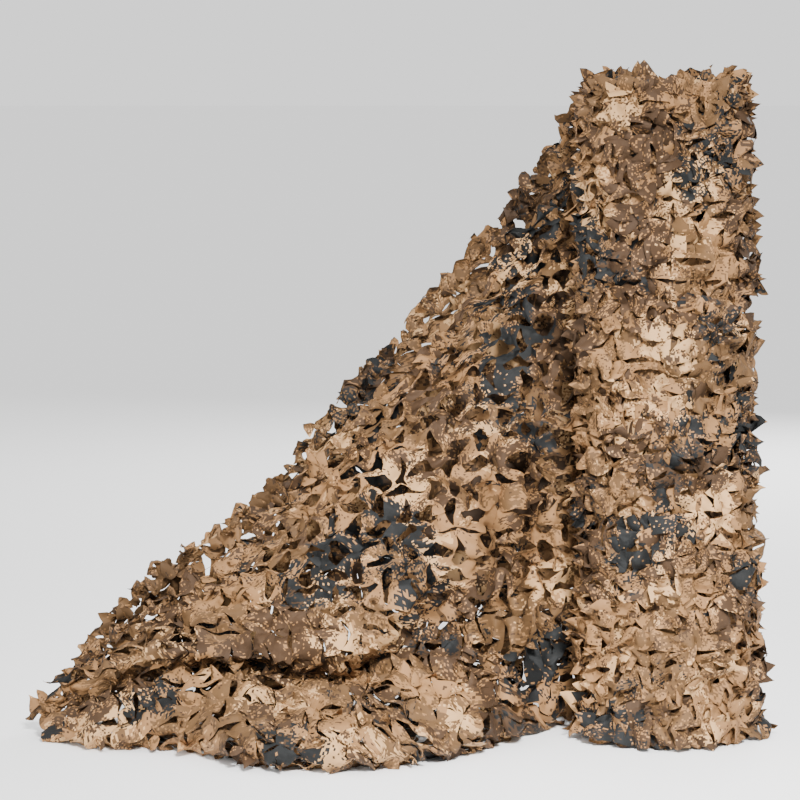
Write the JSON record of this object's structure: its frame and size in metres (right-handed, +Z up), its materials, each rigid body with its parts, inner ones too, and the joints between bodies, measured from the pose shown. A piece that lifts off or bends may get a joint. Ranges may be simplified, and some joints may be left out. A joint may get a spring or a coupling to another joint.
{
  "type": "camouflage netting roll",
  "caption": "Standing roll of doubled leaf-cut camouflage netting with its loose length drawn off and piled on the floor.",
  "frame": {"origin": "axis of the standing roll, at the surface it stands on", "axes": "+Z up along the roll's axis, -X towards the far end of the loose length, -Y towards the side where the front ply piles on the floor"},
  "size_m": [1.675, 0.9177, 1.4998],
  "materials": {
    "net_cloth": "dull printed polyester, tan, khaki, brown and charcoal"
  },
  "bodies": {
    "root": {"wound_roll": "net_cloth", "front_ply": "net_cloth", "back_ply": "net_cloth"}
  },
  "joints": []
}
